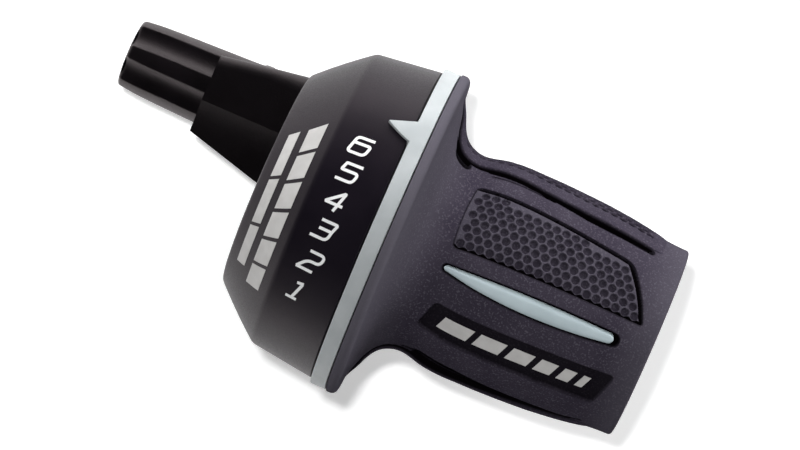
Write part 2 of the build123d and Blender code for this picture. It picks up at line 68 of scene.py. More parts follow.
# Lamps: direction in the picture as (across, upward, out), size and power
lamp_distance = 700
lamps = {
    "key": ((-0.03, 0.085, 1.0), 40, 3.0),
    "top": ((0.1, 1.0, 0.05), 400, 6.0),
    "left": ((-1.0, -0.35, 0.1), 400, 0.6),
    "right": ((1.0, 0.3, 0.25), 400, 3.8),
}

# Colours of the rubber, of its painted sheen and wear, and of the black mouldings, and of the gleam on dark
# mouldings
rubber_dark = (0.033, 0.028, 0.041)
rubber_pale = (0.043, 0.037, 0.052)
fleck_colour = (0.11, 0.1, 0.125)
# Painted sheen, with wear, on the flange, the flare, the free end and the tread's rims
wear_and_sheen_colour = (0.095, 0.089, 0.108)
# Jet black also stands for the painted shade down in the rubber's recesses
jet_black = (0.002, 0.0015, 0.002)
warm_gleam = (1.0, 0.86, 0.89)

# Noise in the materials: the spans of it that count for blotches, grain and flecks, how far the gloss varies,
# and the sizes of the rubber's own noise
cloud_span = (0.35, 0.65)
grain_span = (0.3, 0.7)
gloss_change = 0.07
rubber_blotch = 7.0
rubber_grain = 0.3
rubber_grain_depth = 0.04
rubber_gloss = (0.7, 0.9)
fleck_size = 0.3
fleck_span = (0.54, 0.72)
fleck_share = 0.5

# Radii and stations that the solids give
core_r = 13.88
disc_r = 25.3
mouth_r = 26.4
crease_r = 25.05
rim_r = 17.7
ring_r = 27.2
flange_r = 27.4
x_rim = -21.9
x_crease = -13.5
x_mouth = -2.8
x_ring = -2.6
parting_z = -6.4
cable_y = 9.95
cable_z = -17.7516

# Drum cover: wall, turned-in lips, rounds of its edges, bulge of the cone, and the cosines of how the cone
# and the dial's band lean
shell_wall = 1.7
shell_lip = 1.2
mouth_round = 0.3
crease_round = 0.45
rim_round = 0.5
cone_bulge = 0.18
cone_cosine = 0.75
band_cosine = 0.99
shell_columns = 241

# Rubber: flange, and the outer line from the flange over the flare and the belly to the free end
flange_x = 0.15
flange_edge = 0.2
flange_round = 1.0
flange_t = 1.85
grip_end = 44.4
end_round = 0.5
belly_x = 18.5
outer_points = [
    (flange_t, flange_r - flange_round),
    (2.8, 21.64),
    (5.0, 17.6),
    (8.4, 16.2),
    (12.5, 16.8),
    (belly_x, 17.3),
    (30.0, 16.9),
    (38.0, 16.3),
    (grip_end - end_round, 15.88),
]

# Rubber: length of a degree round the bar, for places that are given as lengths
arc_r = 17.0
DEGREE = radians(1) * arc_r

# Meshes: angle from which an edge is sharp, spacing of the rubber's profile, its mesh along the line and
# round the bar, fine over the front, and the points across the underside of a slab
sharp_angle = 50.0
profile_step = 0.05
line_step = 0.2
front_step = 0.7
back_step = 6.0
front_low = -94.0
front_top = 74.0
slab_columns = 9

# Rubber: recess of the tread, with its corners as (x, angle) and the bows of its sides
tread_corners = [(9.8, 6.0), (41.6, 7.2), (36.6, 39.4), (9.8, 46.4)]
tread_bows = [(0, 0.7), (0.45, 0), (0, 1.0), (-0.35, 0)]
tread_rounds = [0.5, 0.5, 1.2, 0.9]
tread_depth = 0.6

# Rubber: tread in that recess, with its gap at each corner, its rough span, its soft edge, the place of its
# first dimple from the lower left corner, and the scallops of its lower edge
tread_gaps = [(-0.08, 0.2), (-0.75, 0.2), (-0.6, -0.6), (-0.08, -0.6)]
tread_sink = 0.2
tread_span = (30, 11)
tread_edge = 0.2
tread_edge_drop = 0.15
tread_grid = (370, 130)
first_dimple = (0.85, 0.72)
dimple_margin = 0.6
scallop_depth = 0.3
scallop_power = 1.5
scallop_band = 0.06

# Rubber: pale lens, with its half width at the start, in the middle and at the end, the room in its seat,
# and how its face is sunk, crowned and tilted
lens_angle = -6.2
lens_bow = -1.15
lens_start = 10.25
lens_stop = 37.5
lens_halves = (0.5, 1.42, 0.9)
lens_depth = 1.1
lens_room = 0.2
lens_end_room = 0.7
lens_sink = 0.03
lens_crown = 0.2
lens_tilt = 0.3
lens_under = 0.05
lens_columns = 25

# Rubber: sunk panel, given as the tread's recess is
panel_corners = [(9.2, -45.9), (39.2, -48.3), (40.85, -25.8), (10.75, -26.4)]
panel_bows = [(0, -0.3), (0, 0), (0, -0.6), (0, 0)]
panel_rounds = [1.3, 0.8, 0.8, 0.9]
panel_depth = 0.5

# Rubber: slots, step and pocket of the front, with places as (x, angle, half the width)
top_slot = [
    (10.6, 63.6, 0.25), (16.0, 61.4, 0.3), (21.7, 58.3, 0.38),
    (27.6, 56.0, 0.6), (34.9, 55.2, 0.6), (38.5, 54.4, 0.6),
]
low_slot = [
    (9.6, -79.5, 1.2), (12.5, -77.75, 2.7), (17.0, -78.5, 2.9), (23.4, -77.75, 1.55),
    (29.5, -76.85, 0.64), (35.5, -77.3, 0.5), (38.6, -72.8, 0.4),
]
slot_depth = 1.3
step_line = [(11.2, 59.6, 0.1), (16.0, 58.6, 0.12), (21.6, 56.4, 0.12)]
step_depth = 0.25
pocket = [(3.7, 65.5, 0.15), (5.2, 60.5, 1.45), (6.1, 60.0, 1.35)]
pocket_depth = 1.6

# Rubber: painted shade of the shallow recesses, width of a recess's wall, and the share of the mesh spacing
# within which a point is drawn to the wall
faint_dark = 0.8
wall_blur = 0.24
wall_pull = 0.55

# Rubber: dimples of the tread and of the pads behind
dimple_pitch = 1.63
dimple_row = 1.34
dimple_r = 0.64
dimple_depth = 0.4
dimple_wall = 0.2

# Rubber: how dark the painted shade in the dimples is; the share of wear and painted sheen between the
# tread's dimples, on the flange, at (x, share) on the flare and at (run, share) near the free end; and of
# wear in the bore
tread_shade = 0.35
pad_shade = 0.8
tread_wear_and_sheen = 0.32
bore_wear = 0.3
flange_wear_and_sheen = 0.95
flare_wear_and_sheen = [(flange_t + 0.1, 0.6), (4.5, 0.35), (8.0, 0.0)]
end_wear_and_sheen = [(38.0, 0.0), (grip_end, 0.45)]

# Rubber: three raised pads behind, each between two edge lines of (x, angle), and their height along the bar
pad_edges = [
    (
        [(2.9, 80.0), (3.3, 70.0), (3.7, 66.5), (4.9, 63.5), (6.9, 63.0), (10.3, 63.6),
         (16.0, 61.4), (21.7, 58.4), (27.5, 56.9), (34.8, 56.6), (41.0, 56.5)],
        [(8.0, 134.5)],
    ),
    ([(8.0, 140.0)], [(8.0, 207.5)]),
    (
        [(8.0, 213.0)],
        [(2.9, 268.0), (3.4, 272.0), (6.0, 277.0), (10.0, 276.0), (13.0, 274.5), (17.0, 273.0),
         (24.0, 279.0), (30.0, 282.6), (36.0, 282.3), (39.0, 285.0), (41.0, 286.0)],
    ),
]
pad_heights = [
    (2.0, -0.1), (2.8, 0.5), (5.0, 0.6), (8.4, 0.72), (12.0, 0.92), (16.0, 0.8), (18.5, 0.68),
    (30.0, 0.68), (33.7, 0.56), (35.7, 0.46), (37.7, 0.32), (39.7, 0.15), (41.0, -0.15),
]

# Rubber: blur of the pads' lines, depth of their foot, where their dimples lie, and their soft edge
pad_edge_blur = 0.5
pad_rise_blur = 0.8
pad_foot = 0.6
pad_dimples = (4.2, 37.6)
pad_border = 1.4
pad_wide_border = 3.2
pad_round = 0.5
pad_slack = 0.1
pad_step = 0.15

# Pointer of the ring: its tip as (x, angle), the angles of its upper and lower root, its fall to the tip and
# its gap over the drum, and the hairline that parts it from the plain ring; then the ring's edges, and the
# steps of its mesh near the pointer and elsewhere
pointer_tip = (-6.9, 35.9)
pointer_top = 39.2
pointer_low = 30.7
pointer_drop = 0.5
pointer_gap = 0.3
pointer_blunt = 0.05
pointer_bow = 0.8
pointer_room = 1.5
hairline = 0.02
ring_edge = 0.2
ring_lip = 1.2
fine_step = 0.08
coarse_step = 1.0

# Marks: digits in a box of their own, with (across, up, bend) at each corner of a stroke
digit_strokes = {
    6: [[(1, 1), (0, 1, 0.6), (0, 0, 0.5), (1, 0, 0.7), (1, 0.62, 0.4), (0.06, 0.62)]],
    5: [[(1, 1), (0.04, 1, 0.08), (0, 0.57, 0.08), (1, 0.57, 0.6), (1, 0, 0.7), (0, 0)]],
    4: [[(0.74, -0.14), (0.78, 1.02, 0.22), (0, 0.26, 0.2), (1.05, 0.26)]],
    3: [[(0.05, 1), (1.02, 1, 0.25), (0.97, 0.53, 0.2), (1, 0, 0.75), (0, 0)], [(0.2, 0.53), (0.95, 0.53)]],
    2: [
        [(0.1, 1.06), (1.04, 1.06, 0.8), (1.04, 0.5, 0.75), (0.3, 0.5, 0.9), (-0.02, -0.06)],
        [(-0.06, -0.06), (0.95, -0.06)],
    ],
    1: [[(0.22, 1.0), (0.6, 1.06)], [(0.56, 1.0), (0.5, -0.02)], [(0.14, -0.06), (0.8, -0.06)]],
}
digit_places = {
    6: (-9.0, 23.4), 5: (-9.0, 12.9), 4: (-9.15, 2.5), 3: (-9.1, -8.5), 2: (-9.05, -20.6), 1: (-9.4, -33.3),
}
digit_size = (2.75, 2.75)
digit_lean = 0.28
digit_stroke = 0.46
stroke_step = 0.12
mark_lift = 0.05
mark_sink = 0.1

# Marks: slanted bars on the cone, in rows of (inner x, outer x, top angle, low angle, count, gap, lean),
# and in the grip's panel, as (start, first width, narrowing, count, gap)
cone_bars = [(-17.55, -15.1, 27.0, -45.5, 6, 1.7, 3.2), (-20.2, -18.7, 23.5, -43.0, 3, 1.7, 2.0)]
panel_bars = (12.6, 5.2, 0.8, 6, 1.1)
panel_bar_angles = (-41.2, -32.6)
panel_bar_lean = 0.9
cone_bar_grid = (12, 9)
panel_bar_grid = (12, 12)

# Adjuster knob: tip, base and shoulder, seat and duct of the cable, stem, room for the spring, and flutes,
# which end at a collar and stay in the outer skin
knob_tip_x = -51.9
knob_base_x = -29.0
knob_tip_r = 6.0
knob_base_r = 7.1
knob_shoulder = (-48.4, 6.4)
knob_seat_r = 2.6
knob_seat_depth = 8.0
knob_duct_r = 1.1
stem_r = 2.9
stem_end = -22.6
spring_room_r = 4.9
spring_room_depth = 4.1
flute_count = 6
flute_angle = 30.5
flute_r = 3.6
flute_depth = 1.0
knob_collar = 2.5
knob_skin = 0.3
knob_rounds = [0.3, 0.8, 1.5, 0.3, 0.2, 0.1, 0.1, 0.2, 0.1, 0.1, 0.1]
knob_columns = 240


# Camera and lights

def image_axes():
    """Directions to the right and upwards in the picture, in the plane of the bar."""
    right = Vector((cos(radians(camera_roll)), sin(radians(camera_roll)), 0))
    up = Vector((-sin(radians(camera_roll)), cos(radians(camera_roll)), 0))
    return right, up


def add_camera():
    back = (camera_foot - camera_aim).normalized()
    right = image_axes()[0]
    right = (right - back * right.dot(back)).normalized()
    up = back.cross(right)
    data = bpy.data.cameras.new("camera")
    data.lens = camera_lens
    data.sensor_width = sensor_width
    data.clip_end = camera_clip * MM
    camera = bpy.data.objects.new("camera", data)
    turn = Matrix((right, up, back)).transposed().to_4x4()
    camera.matrix_world = Matrix.Translation(camera_foot * MM) @ turn
    bpy.context.collection.objects.link(camera)
    bpy.context.scene.camera = camera


def add_lamp(name, direction, size, power):
    """Round soft lamp, seen from the part in a direction given in the picture, that leaves no gleam."""
    across, upward, out = direction
    right, up = image_axes()
    aim = (right * across + up * upward + Vector((0, 0, out))).normalized()
    data = bpy.data.lights.new(name, "AREA")
    data.shape = "DISK"
    data.size = size * MM
    data.energy = power
    light = bpy.data.objects.new(name, data)
    turn = aim.to_track_quat("Z", "Y").to_matrix().to_4x4()
    light.matrix_world = Matrix.Translation(aim * lamp_distance * MM) @ turn
    light.visible_glossy = False
    bpy.context.collection.objects.link(light)


def add_world():
    """Room that is dark in front of the dial and bright round its sides, most of all above."""
    world = bpy.data.worlds.new("world")
    bpy.context.scene.world = world
    world.use_nodes = True
    tree = world.node_tree
    place = tree.nodes.new("ShaderNodeTexCoord")
    outward = ((0, 0, 1), (0.0, front_reach, side_light, front_light))
    upward = (image_axes()[1], (-1.0, 1.0, low_share, top_share))
    shares = []
    for axis, span in (outward, upward):
        dot = tree.nodes.new("ShaderNodeVectorMath")
        dot.operation = "DOT_PRODUCT"
        dot.inputs[1].default_value = axis
        tree.links.new(place.outputs["Generated"], dot.inputs[0])
        shares.append(spread(tree, dot.outputs["Value"], *span))
    product = tree.nodes.new("ShaderNodeMath")
    product.operation = "MULTIPLY"
    for socket, share in zip(product.inputs, shares):
        tree.links.new(share, socket)
    background = tree.nodes["Background"]
    background.inputs["Color"].default_value = (1, 1, 1, 1)
    tree.links.new(product.outputs["Value"], background.inputs["Strength"])


# Materials

def start_material(name):
    material = bpy.data.materials.new(name)
    material.use_nodes = True
    return material, material.node_tree, material.node_tree.nodes["Principled BSDF"]


def add_noise(tree, size, detail=2.0):
    """Noise with grains of a size in millimetres."""
    place = tree.nodes.new("ShaderNodeTexCoord")
    noise = tree.nodes.new("ShaderNodeTexNoise")
    noise.inputs["Scale"].default_value = 1 / (size * MM)
    noise.inputs["Detail"].default_value = detail
    tree.links.new(place.outputs["Object"], noise.inputs["Vector"])
    return noise.outputs["Fac"]


def spread(tree, value, low, high, to_low, to_high):
    """Maps a span of a value to another span."""
    node = tree.nodes.new("ShaderNodeMapRange")
    for socket, number in zip(("From Min", "From Max", "To Min", "To Max"), (low, high, to_low, to_high)):
        node.inputs[socket].default_value = number
    tree.links.new(value, node.inputs["Value"])
    return node.outputs["Result"]


def mix_colours(tree, factor, first, second):
    """Blend of two colours, each given as numbers or as a socket."""
    node = tree.nodes.new("ShaderNodeMix")
    node.data_type = "RGBA"
    tree.links.new(factor, node.inputs["Factor"])
    for socket, colour in zip((node.inputs[6], node.inputs[7]), (first, second)):
        if isinstance(colour, tuple):
            socket.default_value = (*colour, 1)
        else:
            tree.links.new(colour, socket)
    return node.outputs[2]


def add_bump(tree, shader, height, depth):
    bump = tree.nodes.new("ShaderNodeBump")
    bump.inputs["Distance"].default_value = depth * MM
    tree.links.new(height, bump.inputs["Height"])
    tree.links.new(bump.outputs["Normal"], shader.inputs["Normal"])


def moulded(
    name, dark, light, rough, grain, depth, blotch=6.0, metallic=0.0, shine=0.5, gleam_colour=(1, 1, 1)
):
    """Moulded or machined surface: mottled colour, uneven gloss, and a fine grain of a size and depth."""
    material, tree, shader = start_material(name)
    cloud = spread(tree, add_noise(tree, blotch, 3.0), *cloud_span, 0.0, 1.0)
    fine = add_noise(tree, grain)
    tree.links.new(mix_colours(tree, cloud, dark, light), shader.inputs["Base Color"])
    gloss = spread(tree, fine, *grain_span, rough - gloss_change, rough + gloss_change)
    tree.links.new(gloss, shader.inputs["Roughness"])
    shader.inputs["Metallic"].default_value = metallic
    shader.inputs["Specular IOR Level"].default_value = shine
    shader.inputs["Specular Tint"].default_value = (*gleam_colour, 1)
    add_bump(tree, shader, fine, depth)
    return material


def rubber_material():
    """Speckled rubber, darkened by painted shade down in its recesses and paled by wear and painted sheen."""
    material, tree, shader = start_material("rubber")
    cloud = spread(tree, add_noise(tree, rubber_blotch, 3.0), *cloud_span, 0.0, 1.0)
    ground = mix_colours(tree, cloud, rubber_dark, rubber_pale)
    fleck = spread(tree, add_noise(tree, fleck_size, 1.0), *fleck_span, 0.0, fleck_share)
    flecked = mix_colours(tree, fleck, ground, fleck_colour)
    # Wear and painted sheen pale the rubber; then painted shade darkens it towards jet black in its recesses
    wear_and_sheen = tree.nodes.new("ShaderNodeAttribute")
    wear_and_sheen.attribute_name = "wear_and_sheen"
    rubbed_and_sheened = mix_colours(tree, wear_and_sheen.outputs["Fac"], flecked, wear_and_sheen_colour)
    painted_shade = tree.nodes.new("ShaderNodeAttribute")
    painted_shade.attribute_name = "painted_shade"
    shaded = mix_colours(tree, painted_shade.outputs["Fac"], rubbed_and_sheened, jet_black)
    tree.links.new(shaded, shader.inputs["Base Color"])
    grain = add_noise(tree, rubber_grain)
    tree.links.new(spread(tree, grain, *grain_span, *rubber_gloss), shader.inputs["Roughness"])
    shader.inputs["Specular IOR Level"].default_value = 0.0
    add_bump(tree, shader, grain, rubber_grain_depth)
    return material


def floor_material():
    """White ground that keeps a soft shadow round the part and glows more further out."""
    material, tree, shader = start_material("floor")
    shader.inputs["Base Color"].default_value = (floor_grey, floor_grey, floor_grey, 1)
    shader.inputs["Roughness"].default_value = 1.0
    shader.inputs["Specular IOR Level"].default_value = 0.0
    shader.inputs["Emission Color"].default_value = (1, 1, 1, 1)
    path = tree.nodes.new("ShaderNodeLightPath")
    seen = path.outputs["Is Camera Ray"]
    for kind in ("Is Glossy Ray", "Is Transmission Ray"):
        join = tree.nodes.new("ShaderNodeMath")
        join.operation = "MAXIMUM"
        tree.links.new(seen, join.inputs[0])
        tree.links.new(path.outputs[kind], join.inputs[1])
        seen = join.outputs[0]
    place = tree.nodes.new("ShaderNodeTexCoord")
    reach = tree.nodes.new("ShaderNodeVectorMath")
    reach.operation = "LENGTH"
    tree.links.new(place.outputs["Object"], reach.inputs[0])
    glow = tree.nodes.new("ShaderNodeMath")
    glow.operation = "MULTIPLY"
    near, far = (distance * MM for distance in glow_reach)
    tree.links.new(spread(tree, reach.outputs["Value"], near, far, floor_glow, 1.0), glow.inputs[0])
    tree.links.new(seen, glow.inputs[1])
    tree.links.new(glow.outputs["Value"], shader.inputs["Emission Strength"])
    return material


# Meshes

def polar(x, radius, angle):
    """Points round the bar, in metres."""
    turn = np.radians(angle)
    return np.stack(np.broadcast_arrays(x, radius * np.sin(turn), radius * np.cos(turn)), axis=-1) * MM


def grid_faces(rows, columns, wrap_rows=False, wrap_columns=False):
    """Four-sided faces of a grid of points that is numbered row by row."""
    i = np.arange(rows if wrap_rows else rows - 1)[:, None]
    j = np.arange(columns if wrap_columns else columns - 1)[None, :]
    i2 = (i + 1) % rows
    j2 = (j + 1) % columns
    quads = [i * columns + j, i * columns + j2, i2 * columns + j2, i2 * columns + j]
    return np.stack(np.broadcast_arrays(*quads), axis=-1).reshape(-1, 4).tolist()


def plate_faces(rows, columns, first=0):
    """Faces of a closed plate: a grid of points on top, the same grid below it, and the rim between them."""
    size = rows * columns
    rim = [i * columns for i in range(rows)] + [(rows - 1) * columns + j for j in range(1, columns)]
    rim += [i * columns + columns - 1 for i in range(rows - 2, -1, -1)] + list(range(columns - 2, 0, -1))
    faces = grid_faces(rows, columns)
    faces += [[size + k for k in face[::-1]] for face in grid_faces(rows, columns)]
    faces += [[p, q, size + q, size + p] for p, q in zip(rim, rim[1:] + rim[:1])]
    return [[first + k for k in face] for face in faces]


def add_piece(name, points, faces, material, body, nodes=(), shades=None):
    """Mesh piece that rides on a body, with its normals turned outwards."""
    mesh = bpy.data.meshes.new(name)
    mesh.from_pydata(np.asarray(points).reshape(-1, 3).tolist(), [], faces)
    mesh.update()
    if signed_volume(mesh) < 0:
        mesh.flip_normals()
    mesh.shade_smooth()
    mesh.set_sharp_from_angle(angle=radians(sharp_angle))
    for shade, values in (shades or {}).items():
        layer = mesh.attributes.new(shade, "FLOAT", "POINT")
        layer.data.foreach_set("value", np.asarray(values, dtype=np.float32).ravel())
    mesh.materials.append(material)
    piece = bpy.data.objects.new(name, mesh)
    bpy.context.collection.objects.link(piece)
    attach(piece, body)
    if nodes:
        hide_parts(*nodes)
    return piece


def signed_volume(mesh):
    """Volume inside a closed mesh, which is negative where its faces look inwards."""
    mesh.calc_loop_triangles()
    corners = np.empty(len(mesh.loop_triangles) * 3, dtype=np.int32)
    mesh.loop_triangles.foreach_get("vertices", corners)
    places = np.empty(len(mesh.vertices) * 3)
    mesh.vertices.foreach_get("co", places)
    a, b, c = places.reshape(-1, 3)[corners.reshape(-1, 3)].transpose(1, 0, 2)
    return float(np.einsum("ij,ij->i", a, np.cross(b, c)).sum() / 6)


# Lines and outlines

def smooth_line(points, first, last, step):
    """Smooth line through points with given end directions, evenly spaced."""
    points = np.array(points, dtype=float)
    chord = np.linalg.norm(np.diff(points, axis=0), axis=1)
    count = len(points)
    matrix = np.eye(count)
    right = np.zeros((count, 2))
    right[0] = first
    right[-1] = last
    for i in range(1, count - 1):
        before, after = chord[i - 1], chord[i]
        matrix[i, i - 1:i + 2] = after, 2 * (before + after), before
        rise = after / before * (points[i] - points[i - 1]) + before / after * (points[i + 1] - points[i])
        right[i] = 3 * rise
    slope = np.linalg.solve(matrix, right)
    line = []
    for i, length in enumerate(chord):
        t = np.linspace(0, 1, 60, endpoint=i == count - 2)[:, None]
        line.append(
            (2 * t ** 3 - 3 * t ** 2 + 1) * points[i]
            + (t ** 3 - 2 * t ** 2 + t) * length * slope[i]
            + (3 * t ** 2 - 2 * t ** 3) * points[i + 1]
            + (t ** 3 - t ** 2) * length * slope[i + 1]
        )
    return even(np.concatenate(line), step)


def even(line, step):
    """The same line with points at an even spacing."""
    run = run_of(line)
    places = np.linspace(0, run[-1], max(2, round(run[-1] / step) + 1))
    return np.stack([np.interp(places, run, line[:, k]) for k in range(2)], axis=-1)


def run_of(line):
    """Distance run at each point of a line."""
    return np.concatenate([[0], np.cumsum(np.linalg.norm(np.diff(line, axis=0), axis=1))])


def arc(centre, radius, start, end, count=8):
    """Points of an arc in the plane of a section."""
    turn = np.radians(np.linspace(start, end, count))
    return np.stack([centre[0] + radius * np.cos(turn), centre[1] + radius * np.sin(turn)], axis=-1)


def bowed_side(start, end, bow, t):
    """Points of a side that bows out in its middle."""
    start, end, bow = (np.array(p) for p in (start, end, bow))
    return start + (end - start) * t + bow * 4 * t * (1 - t)


def rounded(corners, rounds, closed, bows=None, count=14):
    """Line over corners, each rounded by the length given, with bowed sides if asked."""
    corners = np.array(corners, dtype=float)
    total = len(corners)
    bows = np.zeros((total, 2)) if bows is None else np.array(bows, dtype=float)
    sides = []
    for i in range(total if closed else total - 1):
        start, end = corners[i], corners[(i + 1) % total]
        length = np.linalg.norm(end - start)
        t = np.linspace(rounds[i] / length, 1 - rounds[(i + 1) % total] / length, count)[:, None]
        sides.append(bowed_side(start, end, bows[i], t))
    line = []
    for i, side in enumerate(sides):
        line.append(side)
        if i + 1 < len(sides) or closed:
            tip = corners[(i + 1) % total]
            after = sides[(i + 1) % len(sides)][0]
            t = np.linspace(0, 1, 8)[1:-1, None]
            line.append((1 - t) ** 2 * side[-1] + 2 * t * (1 - t) * tip + t ** 2 * after)
    return np.concatenate(line)


def outline_distance(u, v, outline):
    """Distance from a closed outline, negative inside, and 1 for places well outside."""
    low, high = outline.min(axis=0) - 1, outline.max(axis=0) + 1
    close = (u > low[0]) & (u < high[0]) & (v > low[1]) & (v < high[1])
    p, q = u[close], v[close]
    nearest = np.full(p.shape, np.inf)
    inside = np.zeros(p.shape, dtype=bool)
    for (ax, ay), (bx, by) in zip(outline, np.roll(outline, -1, axis=0)):
        ex, ey = bx - ax, by - ay
        t = np.clip(((p - ax) * ex + (q - ay) * ey) / (ex * ex + ey * ey + 1e-12), 0, 1)
        nearest = np.minimum(nearest, (p - ax - t * ex) ** 2 + (q - ay - t * ey) ** 2)
        crosses = (ay > q) != (by > q)
        inside ^= crosses & (p < ax + ex * (q - ay) / (by - ay + 1e-12))
    distance = np.ones(np.shape(u))
    distance[close] = np.where(inside, -1, 1) * np.sqrt(nearest)
    return distance


def chain_distance(u, v, chain):
    """Distance from a chain of round spots (u, v, radius) and the tapers between them."""
    nearest = np.full(np.shape(u), np.inf)
    for (ax, ay, ar), (bx, by, br) in zip(chain, chain[1:]):
        ex, ey = bx - ax, by - ay
        t = np.clip(((u - ax) * ex + (v - ay) * ey) / (ex * ex + ey * ey), 0, 1)
        away = np.hypot(u - ax - t * ex, v - ay - t * ey) - (ar + (br - ar) * t)
        nearest = np.minimum(nearest, away)
    return nearest


def fade(distance, blur):
    """1 inside an outline and 0 outside, with a soft wall of a given width."""
    t = np.clip(0.5 - distance / blur, 0, 1)
    return t * t * (3 - 2 * t)


def drawn_to_wall(u, v, distance):
    """Grid places near the top or the foot of a wall, moved onto it so that its edges run smooth."""
    tiny = 0.01
    for edge in (-wall_blur / 2, wall_blur / 2):
        away = distance(u, v) - edge
        pull = np.where(np.abs(away) < wall_pull * line_step, away / tiny, 0)
        across = (distance(u + tiny, v) - edge - away) * pull
        round_bar = (distance(u, v + tiny) - edge - away) * pull
        u, v = u - across, v - round_bar
    return u, v


def on_arc(places):
    """(x, angle, ...) places with the angle as a length round the bar."""
    return [(x, angle * DEGREE, *more) for x, angle, *more in places]


# Rubber line: run along it, counted so that it equals x at the belly, with its place and outward direction

def rubber_line():
    front = arc((flange_x + flange_edge, flange_r - flange_edge), flange_edge, 180, 90)
    shoulder = arc((flange_t - flange_round, flange_r - flange_round), flange_round, 90, 0, 16)
    flare = smooth_line(outer_points, (0, -1), (1, 0), profile_step)
    end = arc((grip_end - end_round, outer_points[-1][1] - end_round), end_round, 90, 0)
    line = even(np.concatenate([front, shoulder, flare[1:], end[1:]]), profile_step)
    along = np.gradient(line, axis=0)
    along /= np.linalg.norm(along, axis=1)[:, None]
    run = run_of(line)
    belly = run[len(line) // 3:][np.argmin(np.abs(line[len(line) // 3:, 0] - belly_x))]
    return run - belly + belly_x, line, np.stack([-along[:, 1], along[:, 0]], axis=-1)


rubber_run, rubber_place, rubber_out = rubber_line()


def on_rubber(run, angle, height):
    """Points at a height over the rubber's outer line."""
    x, radius = (np.interp(run, rubber_run, rubber_place[:, k]) for k in range(2))
    out_x, out_r = (np.interp(run, rubber_run, rubber_out[:, k]) for k in range(2))
    return polar(x + height * out_x, radius + height * out_r, angle)


def run_at(x):
    """Run of a place on the flare or beyond it, from its x."""
    beyond = rubber_place[:, 0] > flange_t
    return float(np.interp(x, rubber_place[beyond, 0], rubber_run[beyond]))


def on_run(places):
    """(x, angle, ...) places as run and length round the bar."""
    return [(run_at(x), w, *more) for x, w, *more in on_arc(places)]


def lens_profile(room, end_room):
    """Run, half width and middle of the lens, or of its seat, from one round end to the other."""
    first, middle, last = (half + room for half in lens_halves)
    stop = lens_stop + end_room
    turn = np.radians(np.linspace(3, 87, 16))
    t = np.linspace(0, 1, 120)
    bulge = middle - (first + last) / 2
    runs = [
        lens_start - first * np.cos(turn),
        lens_start + (stop - lens_start) * t,
        stop + last * np.sin(turn),
    ]
    halves = [
        first * np.sin(turn),
        first + (last - first) * t + bulge * 4 * t * (1 - t),
        last * np.cos(turn),
    ]
    run, half = np.concatenate(runs), np.concatenate(halves)
    along = np.clip((run - lens_start) / (lens_stop - lens_start), 0, 1)
    return run, half, (lens_angle + lens_bow * 4 * along * (1 - along)) * DEGREE


def lens_seat():
    run, half, middle = lens_profile(lens_room, lens_end_room)
    low = np.stack([run, middle - half], axis=-1)
    top = np.stack([run, middle + half], axis=-1)
    return np.concatenate([low, top[::-1]])[::2]


# Rubber: body, tread and pads

def front_cuts():
    """Recesses of the front as their distance, depth and the darkness of their painted shade."""
    tread = rounded(on_arc(tread_corners), tread_rounds, True, on_arc(tread_bows))
    panel = rounded(on_arc(panel_corners), panel_rounds, True, on_arc(panel_bows))
    seat = lens_seat()
    cuts = [
        (lambda u, v: outline_distance(u, v, tread), tread_depth, 1.0),
        (lambda u, v: outline_distance(u, v, seat), lens_depth, 1.0),
        (lambda u, v: outline_distance(u, v, panel), panel_depth, faint_dark),
    ]
    for places, depth, dark in (
        (top_slot, slot_depth, 1.0),
        (low_slot, slot_depth, 1.0),
        (pocket, pocket_depth, 1.0),
        (step_line, step_depth, faint_dark),
    ):
        cuts.append((lambda u, v, chain=on_run(places): chain_distance(u, v, chain), depth, dark))
    return cuts


def add_rubber_body(material):
    start, stop = rubber_run[0], rubber_run[-1]
    run = np.linspace(start, stop, round((stop - start) / line_step) + 1)
    front = np.arange(front_low, front_top, front_step)
    back = np.arange(front_top, front_low + 360, back_step)
    u, angle = np.meshgrid(run, np.concatenate([front, back]), indexing="ij")
    v = (angle - 360 * (angle > 180)) * DEGREE
    cuts = front_cuts()
    for distance, depth, dark in cuts:
        u, v = drawn_to_wall(u, v, distance)
    away = [distance(u, v) for distance, depth, dark in cuts]
    sunk = [depth * fade(d, wall_blur) for d, (distance, depth, dark) in zip(away, cuts)]
    # Painted shade down in each recess, inside its wall
    shaded = [dark * fade(d - wall_blur / 2, wall_blur) for d, (distance, depth, dark) in zip(away, cuts)]
    height, painted_shade = -np.max(sunk, axis=0), np.max(shaded, axis=0)
    rows, columns = u.shape
    ends = [polar(x, core_r, angle[0]) for x in (grip_end, flange_x)]
    points = np.concatenate([on_rubber(u, v / DEGREE, height).reshape(-1, 3), *ends])
    # Wear and painted sheen along the line, most at the flange, flare and free end; wear alone in the bore
    wear_and_sheen = [np.interp(u, *zip(*wear_and_sheen_runs())), np.full((2, columns), bore_wear)]
    shades = {"painted_shade": np.concatenate([painted_shade, np.zeros((2, columns))]), "wear_and_sheen": np.concatenate(wear_and_sheen)}
    faces = grid_faces(rows + 2, columns, wrap_rows=True, wrap_columns=True)
    return add_piece("rubber_body", points, faces, material, "grip", ["grip_rubber"], shades)


def wear_and_sheen_runs():
    """Share of wear and painted sheen along the rubber line, most at the flange, on the flare and at the free
    end.
    """
    flare = [(run_at(x), share) for x, share in flare_wear_and_sheen]
    return [(rubber_run[0], flange_wear_and_sheen), *flare, *end_wear_and_sheen]


def dimples(u, v, keep):
    """Share of the dimple's depth at places on a staggered pattern, with those kept that a test lets stay."""
    share = np.zeros(np.shape(u))
    for shift in (0, 1):
        row = 2 * np.round((v / dimple_row - shift) / 2) + shift
        column = np.round(u / dimple_pitch - shift / 2) + shift / 2
        cu, cv = column * dimple_pitch, row * dimple_row
        away = np.hypot(u - cu, v - cv) - dimple_r
        share = np.maximum(share, fade(away, dimple_wall) * keep(cu, cv))
    return share


